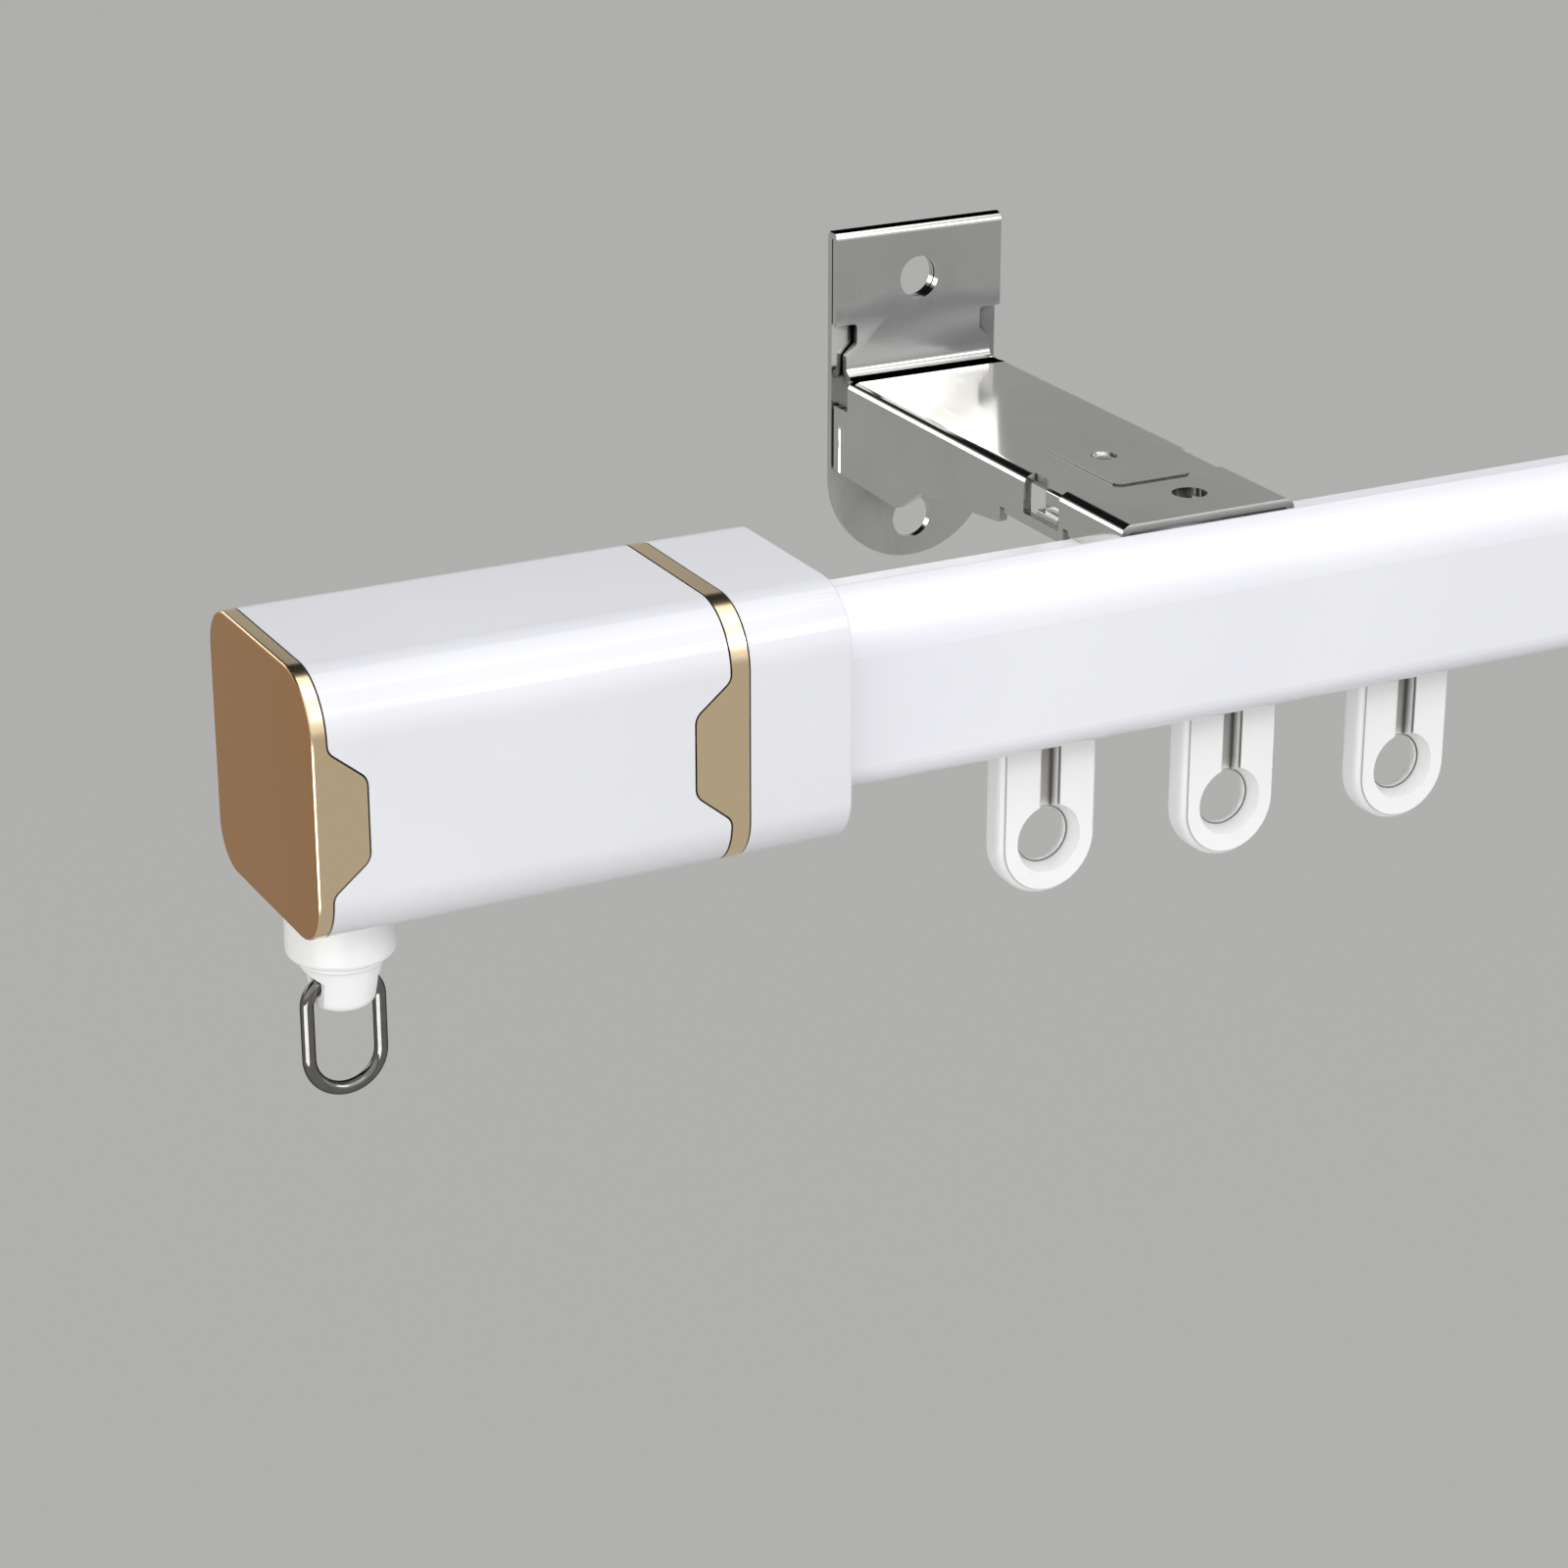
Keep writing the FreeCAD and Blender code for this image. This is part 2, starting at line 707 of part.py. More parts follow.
def ring_hole(axis):
    """Flared hole that the wire's shoulders fill as the ring swings about the x axis."""
    flare = ring_shoulder - ring_wire_radius - ring_gap
    straight = ring_bend - ring_shoulder
    run = flare * flare_share
    mouth = straight + run
    drops = [ring_shoulder - sqrt(flare ** 2 - (run * share) ** 2) for share in (0, 0.5, 1)]
    right = [V(straight + run * share, 0, drop) for share, drop in zip((0, 0.5, 1), drops)]
    left = [V(-point.x, 0, point.z) for point in right]
    edges = [
        Part.Arc(*right).toShape(), Part.Arc(*left).toShape(),
        Part.makeLine(left[0], right[0]), Part.makeLine(right[2], V(mouth, 0, 0)),
        Part.makeLine(V(mouth, 0, 0), V(-mouth, 0, 0)), Part.makeLine(V(-mouth, 0, 0), left[2]),
    ]
    face = Part.Face(Part.Wire(Part.__sortEdges__(edges)))
    hole = face.revolve(V(0, 0, 0), V(1, 0, 0), 360)
    hole.translate(V(0, 0, axis))
    return hole


def bent_wire(place, centre, turn):
    """Bend of the ring's wire, from a vertical end at place, about a level line at centre."""
    disc = Part.Face(Part.Wire(Part.makeCircle(ring_wire_radius, place, V(0, 0, 1))))
    return disc.revolve(centre, V(0, 1, 0), turn)


def hook_ring():
    """Closed ring of steel wire that hangs in the boss, with two shoulders and a round foot."""
    axis = swivel_levels()[2]
    high = axis - ring_shoulder
    low = high - ring_straight
    straight = ring_bend - ring_shoulder
    pieces = [
        Part.makeCylinder(ring_wire_radius, 2 * straight, V(-straight, 0, axis), V(1, 0, 0)),
        bent_wire(V(ring_bend, 0, low), V(0, 0, low), 180),
    ]
    for side in (-1, 1):
        pieces.append(Part.makeCylinder(ring_wire_radius, ring_straight,
                                        V(side * ring_bend, 0, low), V(0, 0, 1)))
        pieces.append(bent_wire(V(side * ring_bend, 0, high), V(side * straight, 0, high), -90 * side))
    return pieces[0].multiFuse(pieces[1:]).removeSplitter()


# Bracket and latch, built about the bracket's middle at x = 0


def wall_plate():
    """Back layer on the wall, hem over its top and front layer down to the fold."""
    half = plate_width / 2
    hem_round = sheet + hem_gap / 2
    hem_height = plate_top - hem_round
    back = along_y(
        [(-half, tongue_foot, half), (half, tongue_foot, half),
         (half, hem_height, 0), (-half, hem_height, 0)],
        wall_distance - sheet, wall_distance)
    middle = V(-half, wall_distance - hem_round, hem_height)
    hem = Part.makeCylinder(hem_round, plate_width, middle, V(1, 0, 0))
    hem = hem.cut(Part.makeCylinder(hem_round - sheet, plate_width, middle, V(1, 0, 0)))
    above = Part.makeBox(plate_width, 2 * hem_round, hem_round,
                         V(-half, wall_distance - 2 * hem_round, hem_height))
    face = wall_distance - 2 * sheet - hem_gap
    right = [
        (strip_half, arm_top + fold_radius, 0), (strip_half, strip_foot, small_round),
        (half - notch_depth, notch_foot, soft_round), (half - notch_depth, notch_top, soft_round),
        (half, notch_top, small_round), (half, hem_height, 0),
    ]
    front = along_y(right + mirrored(right), face, face + sheet)
    return back.multiFuse([hem.common(above), front]), face


def fold(face):
    """Quarter bend from the front layer into the top of the arm."""
    outer = fold_radius + sheet
    middle = V(-strip_half, face - fold_radius, arm_top + fold_radius)
    width = 2 * strip_half
    flat = Part.makeBox(width, relief_reach - fold_radius, sheet,
                        V(-strip_half, face - relief_reach, arm_top - sheet))
    bend = Part.makeCylinder(outer, width, middle, V(1, 0, 0))
    bend = bend.cut(Part.makeCylinder(fold_radius, width, middle, V(1, 0, 0)))
    quarter = Part.makeBox(width, outer, outer, middle - V(0, 0, outer))
    return bend.common(quarter).fuse(flat)


def arm_side(face):
    """Side view of the arm: flanges, steps, nicks and the toes under the hook."""
    deep_back = face + sheet + hem_gap - seat_gap
    foot = deck_height + seat_gap
    fold_back = face - relief_reach
    low = deck_height - flange_drop
    relief = deck_height + relief_rise
    return [
        (deep_back, low, soft_round), (step_back, low - flange_slope, flange_round),
        (step_front, low - flange_slope + step_rise, flange_round),
        (shallow_front, deck_height - shallow_drop, small_round),
        (shallow_front, mouth_foot + nick / 2, 0), (shallow_front - nick, mouth_foot + nick / 2, 0),
        (shallow_front - nick, mouth_foot, 0), (mouth_front + nick, mouth_foot, 0),
        (mouth_front + nick, foot + nick / 2, 0), (mouth_front, foot + nick / 2, 0),
        (mouth_front, foot, 0), (-toe_reach, foot, small_round),
        (-toe_reach, foot + toe_height, small_round),
        (-arm_front - toe_slope, foot + toe_rise, small_round), (-arm_front, foot + brow_rise, 0),
        (-arm_front, arm_top + past, 0), (fold_back, arm_top + past, 0),
        (fold_back, relief, small_round), (deep_back, relief, small_round),
    ]


def arm(face):
    """Inverted channel with rounded shoulders, cut to its side view."""
    half = arm_width / 2
    low = tongue_foot
    right = [
        (half - sheet, low, 0), (half, low, 0), (half, arm_top, arm_bend),
    ]
    inner = [
        (half - sheet, arm_top - sheet, arm_bend - sheet),
    ]
    section = right + mirrored(right) + mirrored(inner) + inner
    length_back = face + sheet + hem_gap
    channel = along_y(section, -toe_reach - past, length_back)
    side = along_x(arm_side(face), -half - past, half + past)
    return channel.common(side)


def arm_cuts():
    """Windows for the latch's ears and the two holes in the arm's top."""
    half = arm_width / 2
    edge = half - sheet - window_depth
    window = rectangle(window_front, window_back, deck_height - window_drop, arm_top + past, small_round)
    right = along_x(window, edge, half + past)
    left = along_x(window, -half - past, -edge)
    pin = bored(pad_hole / 2, V(pad_hole_offset, pad_hole_back, arm_top), V(0, 0, 1), 4 * sheet)
    hole = bored(round_hole / 2, V(round_hole_offset, round_hole_back, arm_top), V(0, 0, 1), 4 * sheet)
    return [right, left, pin, hole]


def bracket():
    plate, face = wall_plate()
    pad = along_z(rectangle(pad_offset - pad_width / 2, pad_offset + pad_width / 2,
                            pad_middle - pad_length / 2, pad_middle + pad_length / 2, pad_round),
                  arm_top - merge, arm_top + pad_rise)
    holes = [
        bored(screw_hole / 2, V(0, wall_distance, height), V(0, 1, 0), 6 * sheet + 2 * hem_gap)
        for height in (screw_hole_high, screw_hole_low)
    ]
    whole = plate.multiFuse([fold(face), arm(face), pad]).removeSplitter()
    return whole.cut(holes + arm_cuts())


def latch():
    """Slider under the arm's top, with a lipped ear each side and a claw under the rear flange."""
    top = arm_top - sheet - latch_gap
    low = top - latch_sheet
    claw_top = deck_height - rail_wall - claw_gap
    claw_low = claw_top - latch_sheet
    plate = along_z(rectangle(-latch_half, latch_half, latch_front, latch_back, soft_round), low, top)
    slot = along_z(
        rectangle(pad_hole_offset - rivet_shank / 2 - latch_gap,
                  pad_hole_offset + rivet_shank / 2 + latch_gap,
                  pad_hole_back - latch_travel - rivet_shank / 2 - latch_gap,
                  pad_hole_back + rivet_shank / 2 + latch_gap, soft_round),
        low - past, top + past)
    web = along_y(rectangle(-claw_half, claw_half, claw_low, top - merge),
                  latch_front, latch_front + latch_sheet)
    claw = along_z(rectangle(-claw_half, claw_half, claw_tip, latch_front + latch_sheet, small_round),
                   claw_low, claw_top)
    ear_out = arm_width / 2 - sheet - ear_gap
    lip_low = top - ear_drop
    ear = along_y([
        (latch_half - merge, low, 0), (ear_out - latch_sheet, low, 0),
        (ear_out - latch_sheet, lip_low, 0), (arm_width / 2, lip_low, 0),
        (arm_width / 2, lip_low + lip_sheet, 0), (ear_out, lip_low + lip_sheet, 0),
        (ear_out, top, small_round), (latch_half - merge, top, 0),
    ], ear_front, ear_front + ear_length)
    other_ear = ear.mirror(V(0, 0, 0), V(1, 0, 0))
    return plate.multiFuse([web, claw, ear, other_ear]).removeSplitter().cut(slot)


def latch_rivet():
    """Rivet that holds the latch under the arm, its end showing in the pad."""
    head_top = arm_top - sheet - 2 * latch_gap - latch_sheet
    pin = spun([
        (0, head_top - rivet_head_height, 0), (rivet_head / 2, head_top - rivet_head_height, 0),
        (rivet_head / 2, head_top, 0), (rivet_shank / 2, head_top, 0),
        (rivet_shank / 2, arm_top - sheet, 0), (pad_hole / 2 - seat_gap, arm_top - sheet, 0),
        (pad_hole / 2 - seat_gap, arm_top - rivet_dome, 0),
        (pad_hole / 2 - 2 * rivet_dome, arm_top, 0), (0, arm_top, 0),
    ])
    pin.translate(V(pad_hole_offset, pad_hole_back, 0))
    return pin


# Placing and writing


def put(name, shape, x=0.0):
    """Moves a piece along the rail and into the frame of the wall screws, and writes it."""
    piece = shape.copy()
    piece.translate(V(x, -wall_distance, -mount_height))
    piece.exportStep("parts/" + name + ".step")


def put_gliders():
    pieces = {
        "body": glider_body(), "insert": glider_insert(), "axle": glider_axle(),
        "wheel_front": glider_wheel(-1), "wheel_rear": glider_wheel(1),
    }
    steps = [glider_start + i * glider_pitch - half_length for i in range(gliders_per_side)]
    places = steps + [-x for x in reversed(steps)]
    for number, x in enumerate(places, 1):
        for part_name, shape in pieces.items():
            put("glider_%d_%s" % (number, part_name), shape, x)


def put_ends():
    pieces = {
        "end_plate": (end_plate(), 0), "finial_shell": (finial_shell(), 0),
        "trim_band": (trim_band(), 0), "finial_collar": (finial_collar(), 0),
        "swivel_base": (swivel_base(), swivel_inset), "swivel_eye": (swivel_eye(), swivel_inset),
        "hook_ring": (hook_ring(), swivel_inset),
    }
    for part_name, (shape, inset) in pieces.items():
        put("left_" + part_name, shape, inset - half_length)
        put("right_" + part_name, shape.mirror(V(0, 0, 0), V(1, 0, 0)), half_length - inset)


def put_brackets():
    pieces = {"bracket": bracket(), "latch": latch(), "latch_rivet": latch_rivet()}
    for side, x in (("left", bracket_inset - half_length), ("right", half_length - bracket_inset)):
        for part_name, shape in pieces.items():
            put(side + "_" + part_name, shape, x)


os.makedirs("parts", exist_ok=True)
put("rail", rail())
put("rail_liner", liner())
put_gliders()
put_ends()
put_brackets()
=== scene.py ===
from math import radians

import bpy
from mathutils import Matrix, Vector


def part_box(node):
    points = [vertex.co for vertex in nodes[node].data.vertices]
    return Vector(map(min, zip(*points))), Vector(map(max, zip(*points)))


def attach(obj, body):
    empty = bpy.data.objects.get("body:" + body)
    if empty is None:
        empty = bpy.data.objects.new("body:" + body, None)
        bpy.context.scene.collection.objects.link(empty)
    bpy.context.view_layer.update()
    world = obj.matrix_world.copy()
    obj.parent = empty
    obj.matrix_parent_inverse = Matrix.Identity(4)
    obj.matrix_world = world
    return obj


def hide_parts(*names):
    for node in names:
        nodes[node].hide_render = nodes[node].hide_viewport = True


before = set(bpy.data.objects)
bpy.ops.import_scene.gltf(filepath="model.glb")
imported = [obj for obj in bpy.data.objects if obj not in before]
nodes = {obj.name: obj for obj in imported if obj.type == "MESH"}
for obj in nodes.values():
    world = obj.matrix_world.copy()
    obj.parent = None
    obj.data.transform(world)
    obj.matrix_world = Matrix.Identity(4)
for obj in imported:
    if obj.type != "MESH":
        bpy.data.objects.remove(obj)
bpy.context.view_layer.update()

bpy.ops.object.select_all(action="DESELECT")


# Rail. One length of extruded aluminium with a slotted channel below, a closed
# hollow above it and a hook rolled over the front. It is powder coated white,
# which leaves a soft gloss with the faint dimpling of sprayed paint.

def linear(hex_colour):
    """Linear colour from an sRGB hex value."""
    channels = [int(hex_colour[i:i + 2], 16) / 255 for i in (1, 3, 5)]
    return [c / 12.92 if c <= 0.04045 else ((c + 0.055) / 1.055) ** 2.4 for c in channels] + [1.0]


def add_node(tree, kind, settings, links=None):
    """One shader node with its settings, by property or socket name, and its links."""
    node = tree.nodes.new(kind)
    for name, value in settings.items():
        if name == "stops":
            ramp = node.color_ramp.elements
            ramp.remove(ramp[1])
            for position, colour in value:
                element = ramp[0] if position == value[0][0] else ramp.new(position)
                element.position = position
                element.color = linear(colour)
        elif isinstance(name, int) or name in node.inputs:
            node.inputs[name].default_value = value
        else:
            setattr(node, name, value)
    for name, source in (links or {}).items():
        tree.links.new(source, node.inputs[name])
    return node


def start_material(name):
    """A material, its node tree, its shader and the piece's own coordinates in metres."""
    material = bpy.data.materials.new(name)
    material.use_nodes = True
    tree = material.node_tree
    coordinates = add_node(tree, "ShaderNodeTexCoord", {})
    return material, tree, tree.nodes["Principled BSDF"], coordinates.outputs["Object"]


def per_metre(size_mm):
    """Scale of a pattern whose features are about this many millimetres across."""
    return 1000 / size_mm


def dress(material, *names):
    """Gives the CAD nodes of these names this material."""
    for name in names:
        nodes[name].data.materials.clear()
        nodes[name].data.materials.append(material)


# Polyester powder coat, sprayed and baked: an even white with a soft gloss, and
# the faint waves and dimples that sprayed powder leaves when it melts.
powder_coat, tree, shader, place = start_material("white_powder_coat")
shader.inputs["IOR"].default_value = 1.5
cloud = add_node(tree, "ShaderNodeTexNoise", {"Scale": per_metre(40), "Detail": 3.0}, {"Vector": place})
tone = add_node(tree, "ShaderNodeValToRGB", {"stops": [(0.3, "#EBEBF0"), (0.7, "#EEEEF2")]},
                {"Fac": cloud.outputs["Fac"]})
gloss = add_node(tree, "ShaderNodeMapRange", {"To Min": 0.2, "To Max": 0.28},
                 {"Value": cloud.outputs["Fac"]})
dimples = add_node(tree, "ShaderNodeTexNoise", {"Scale": per_metre(1.4), "Detail": 2.0},
                   {"Vector": place})
bump = add_node(tree, "ShaderNodeBump", {"Strength": 0.12, "Distance": 0.0001},
                {"Height": dimples.outputs["Fac"]})
tree.links.new(tone.outputs["Color"], shader.inputs["Base Color"])
tree.links.new(gloss.outputs["Result"], shader.inputs["Roughness"])
tree.links.new(bump.outputs["Normal"], shader.inputs["Normal"])
dress(powder_coat, "rail")


# Liner. A grey PVC runway, extruded and pushed into the rail's channel from the
# end. Extrusion leaves a dull sheen and fine straight lines along it, which are
# drawn 0.8 mm wide so that they show.

grey_pvc, tree, shader, place = start_material("extruded_grey_pvc")
shader.inputs["IOR"].default_value = 1.53
along = add_node(tree, "ShaderNodeMapping", {"Scale": (0.01, 1.0, 1.0)}, {"Vector": place})
lines = add_node(tree, "ShaderNodeTexNoise", {"Scale": per_metre(0.8), "Detail": 2.0},
                 {"Vector": along.outputs["Vector"]})
tone = add_node(tree, "ShaderNodeValToRGB", {"stops": [(0.3, "#BDBCC4"), (0.7, "#C9C8D0")]},
                {"Fac": lines.outputs["Fac"]})
gloss = add_node(tree, "ShaderNodeMapRange", {"To Min": 0.38, "To Max": 0.5},
                 {"Value": lines.outputs["Fac"]})
bump = add_node(tree, "ShaderNodeBump", {"Strength": 0.15, "Distance": 0.0001},
                {"Height": lines.outputs["Fac"]})
tree.links.new(tone.outputs["Color"], shader.inputs["Base Color"])
tree.links.new(gloss.outputs["Result"], shader.inputs["Roughness"])
tree.links.new(bump.outputs["Normal"], shader.inputs["Normal"])
dress(grey_pvc, "rail_liner")


# Gliders. Each is an acetal plate moulded round a steel insert, with a slot and
# a countersunk eye for the curtain hook. It hangs from a turned steel axle that
# carries a black nylon wheel each side of the plate.

weld_reach = 1e-6         # metres, how near two corners of a mesh are the same one
flat_turn = 0.4           # degrees, the most that faces turn which are the same one
edge_turn = 28            # degrees, the least that a face turns at an edge
edge_steps = 3
turned_sides = 64
slot_sides = 32


def merged_copy(node, name):
    """Copy of a CAD node's mesh with its loose triangles merged into clean faces."""
    bpy.ops.object.select_all(action="DESELECT")
    piece = bpy.data.objects.new(name, nodes[node].data.copy())
    bpy.context.collection.objects.link(piece)
    piece.select_set(True)
    bpy.context.view_layer.objects.active = piece
    bpy.ops.mesh.customdata_custom_splitnormals_clear()
    bpy.ops.object.mode_set(mode="EDIT")
    bpy.ops.mesh.select_all(action="SELECT")
    bpy.ops.mesh.remove_doubles(threshold=weld_reach)
    bpy.ops.mesh.dissolve_limited(angle_limit=radians(flat_turn))
    bpy.ops.object.mode_set(mode="OBJECT")
    return piece


def rounded(piece, edge_mm):
    """Rounds the piece's edges and shades it smooth."""
    bpy.ops.object.select_all(action="DESELECT")
    piece.select_set(True)
    bpy.context.view_layer.objects.active = piece
    bpy.ops.object.shade_smooth()
    bevel = piece.modifiers.new("edge_rounding", "BEVEL")
    bevel.width = edge_mm / 1000
    bevel.segments = edge_steps
    bevel.limit_method = "ANGLE"
    bevel.angle_limit = radians(edge_turn)
    bevel.harden_normals = True
    bpy.ops.object.modifier_apply(modifier=bevel.name)


def stand_for(piece, node, body, material):
    """Gives the piece its material, its body and the CAD node that it takes the place of."""
    piece.data.materials.clear()
    piece.data.materials.append(material)
    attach(piece, body)
    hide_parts(node)


def softened(node, name, body, material, edge_mm):
    """Merged copy of a CAD node with its edges rounded, which takes the node's place."""
    piece = merged_copy(node, name)
    rounded(piece, edge_mm)
    stand_for(piece, node, body, material)


def turned(name, rings, place, turn=(0, 0, 0)):
    """Turned solid, drawn up ring by ring as (radius, height) in mm, then put in its place."""
    bpy.ops.object.select_all(action="DESELECT")
    bpy.ops.mesh.primitive_circle_add(vertices=turned_sides, radius=rings[0][0] / 1000,
                                      fill_type="NGON", location=(0, 0, rings[0][1] / 1000))
    piece = bpy.context.active_object
    piece.name = name
    bpy.ops.object.transform_apply()
    bpy.ops.object.mode_set(mode="EDIT")
    bpy.ops.mesh.select_all(action="SELECT")
    for (radius, height), (next_radius, next_height) in zip(rings, rings[1:]):
        bpy.ops.mesh.extrude_region_move(
            TRANSFORM_OT_translate={"value": (0, 0, (next_height - height) / 1000)})
        share = next_radius / radius
        bpy.ops.transform.resize(value=(share, share, 1),
                                 center_override=(0, 0, next_height / 1000))
    bpy.ops.mesh.select_all(action="SELECT")
    bpy.ops.mesh.normals_make_consistent(inside=False)
    bpy.ops.object.mode_set(mode="OBJECT")
    piece.rotation_euler = turn
    piece.location = place
    bpy.ops.object.transform_apply()
    return piece


def select_vertices(piece, wanted):
    """Enters edit mode with only the wanted vertices selected."""
    bpy.ops.object.mode_set(mode="EDIT")
    bpy.ops.mesh.select_all(action="DESELECT")
    bpy.ops.object.mode_set(mode="OBJECT")
    for vertex in piece.data.vertices:
        vertex.select = wanted(vertex.co)
    bpy.ops.object.mode_set(mode="EDIT")


def slot_cutter(half_mm, depth_mm, length_mm, place):
    """Upright slot with a round top at this place, to sink into a face along y."""
    bpy.ops.object.select_all(action="DESELECT")
    bpy.ops.mesh.primitive_cylinder_add(vertices=slot_sides, radius=half_mm / 1000,
                                        depth=depth_mm / 1000, location=place,
                                        rotation=(radians(90), 0, 0))
    piece = bpy.context.active_object
    bpy.ops.object.transform_apply()
    select_vertices(piece, lambda corner: corner.z < place[2] + weld_reach)
    bpy.ops.transform.translate(value=(0, 0, -length_mm / 1000))
    bpy.ops.object.mode_set(mode="OBJECT")
    return piece


def cut_by(piece, cutter):
    """Takes the cutter's shape out of the piece."""
    boolean = piece.modifiers.new("cut", "BOOLEAN")
    boolean.operation = "DIFFERENCE"
    boolean.object = cutter
    boolean.solver = "EXACT"
    bpy.context.view_layer.objects.active = piece
    bpy.ops.object.modifier_apply(modifier=boolean.name)
    bpy.data.objects.remove(cutter)


# Acetal, injection moulded: a dense satin white with a fine moulded grain, drawn
# 0.5 mm wide so that it shows. Painted shade greys it deep in its hollows, such
# as the slot and the eye.
white_acetal, tree, shader, place = start_material("moulded_white_acetal")
shader.inputs["IOR"].default_value = 1.48
shade = add_node(tree, "ShaderNodeAmbientOcclusion",
                 {"samples": 8, "only_local": True, "Distance": 0.0025})
depth = add_node(tree, "ShaderNodeValToRGB", {"stops": [(0.6, "#6E6862"), (0.92, "#FFFFFF")]},
                 {"Fac": shade.outputs["AO"]})
corners = add_node(tree, "ShaderNodeMix", {"data_type": "RGBA", "blend_type": "MULTIPLY", "Factor": 1.0})
cloud = add_node(tree, "ShaderNodeTexNoise", {"Scale": per_metre(9), "Detail": 3.0}, {"Vector": place})
tone = add_node(tree, "ShaderNodeValToRGB", {"stops": [(0.3, "#FAFAF9"), (0.7, "#FDFDFC")]},
                {"Fac": cloud.outputs["Fac"]})
gloss = add_node(tree, "ShaderNodeMapRange", {"To Min": 0.24, "To Max": 0.36},
                 {"Value": cloud.outputs["Fac"]})
grain = add_node(tree, "ShaderNodeTexNoise", {"Scale": per_metre(0.5), "Detail": 1.0}, {"Vector": place})
bump = add_node(tree, "ShaderNodeBump", {"Strength": 0.06, "Distance": 0.0001},
                {"Height": grain.outputs["Fac"]})
tree.links.new(tone.outputs["Color"], corners.inputs[6])
tree.links.new(depth.outputs["Color"], corners.inputs[7])
tree.links.new(corners.outputs[2], shader.inputs["Base Color"])
tree.links.new(gloss.outputs["Result"], shader.inputs["Roughness"])
tree.links.new(bump.outputs["Normal"], shader.inputs["Normal"])

# Nylon, moulded in a polished tool: black and glossy, with faint cloudy wear.
black_nylon, tree, shader, place = start_material("polished_black_nylon")
shader.inputs["IOR"].default_value = 1.53
cloud = add_node(tree, "ShaderNodeTexNoise", {"Scale": per_metre(3), "Detail": 3.0}, {"Vector": place})
tone = add_node(tree, "ShaderNodeValToRGB", {"stops": [(0.35, "#08080A"), (0.75, "#121214")]},
                {"Fac": cloud.outputs["Fac"]})
gloss = add_node(tree, "ShaderNodeMapRange", {"To Min": 0.1, "To Max": 0.2},
                 {"Value": cloud.outputs["Fac"]})
tree.links.new(tone.outputs["Color"], shader.inputs["Base Color"])
tree.links.new(gloss.outputs["Result"], shader.inputs["Roughness"])

# Steel, turned and nickel plated: bright, with fine marks of the tool, drawn
# 0.6 mm wide so that they show.
bright_steel, tree, shader, place = start_material("nickel_plated_steel")
shader.inputs["Metallic"].default_value = 1.0
marks = add_node(tree, "ShaderNodeTexNoise", {"Scale": per_metre(0.6), "Detail": 2.0}, {"Vector": place})
tone = add_node(tree, "ShaderNodeValToRGB", {"stops": [(0.3, "#C4C2BE"), (0.7, "#D2D0CC")]},
                {"Fac": marks.outputs["Fac"]})
gloss = add_node(tree, "ShaderNodeMapRange", {"To Min": 0.16, "To Max": 0.28},
                 {"Value": marks.outputs["Fac"]})
tree.links.new(tone.outputs["Color"], shader.inputs["Base Color"])
tree.links.new(gloss.outputs["Result"], shader.inputs["Roughness"])

# The eye is opened from both faces to a thin web, which keeps a narrow lip, and the
# slot above it is sunk from both faces up to just under the rail.
glider_edge = 0.3         # mm, rounding of the moulded edges
plate_half = 3.0          # mm, half its thickness, as are the sizes below
web_half = 0.6
eye_rise = 10.2           # from the plate's foot to the eye's middle
eye_rings = [(6.3, -3.5), (5.1, -web_half), (5.1, -0.3), (4.8, -0.3),
             (4.8, 0.3), (5.1, 0.3), (5.1, web_half), (6.3, 3.5)]
slot_half = 1.5
slot_rise = 28.3          # from the plate's foot to the slot's top
slot_length = 4.0
slot_steps = [(slot_half, web_half), (2.0, 2.5)]     # half width, and bed from the middle
past = 0.5                # how far a cutter runs out of the face
glider_count = 6

plate = merged_copy("glider_1_body", "glider_1_plate")
low, high = (Vector(corner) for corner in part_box("glider_1_body"))
foot = Vector(((low.x + high.x) / 2, (low.y + high.y) / 2, low.z))
cut_by(plate, turned("eye_cutter", eye_rings, foot + Vector((0, 0, eye_rise / 1000)),
                     (radians(-90), 0, 0)))
for face in (-1, 1):
    for half, bed in slot_steps:
        depth = plate_half + past - bed
        sunk = Vector((0, face * (bed + depth / 2), slot_rise - slot_half)) / 1000
        cut_by(plate, slot_cutter(half, depth, slot_length, foot + sunk))
rounded(plate, glider_edge)

for number in range(1, glider_count + 1):
    glider = "glider_%d" % number
    if number > 1:
        bpy.ops.object.select_all(action="DESELECT")
        plate = bpy.data.objects.new(glider + "_plate", plate.data.copy())
        bpy.context.collection.objects.link(plate)
        plate.select_set(True)
        bpy.context.view_layer.objects.active = plate
        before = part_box("glider_%d_body" % (number - 1))[0][0]
        plate.location.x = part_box(glider + "_body")[0][0] - before
        bpy.ops.object.transform_apply()
    stand_for(plate, glider + "_body", glider, white_acetal)
    dress(bright_steel, glider + "_insert", glider + "_axle")
    dress(black_nylon, glider + "_wheel_front", glider + "_wheel_rear")
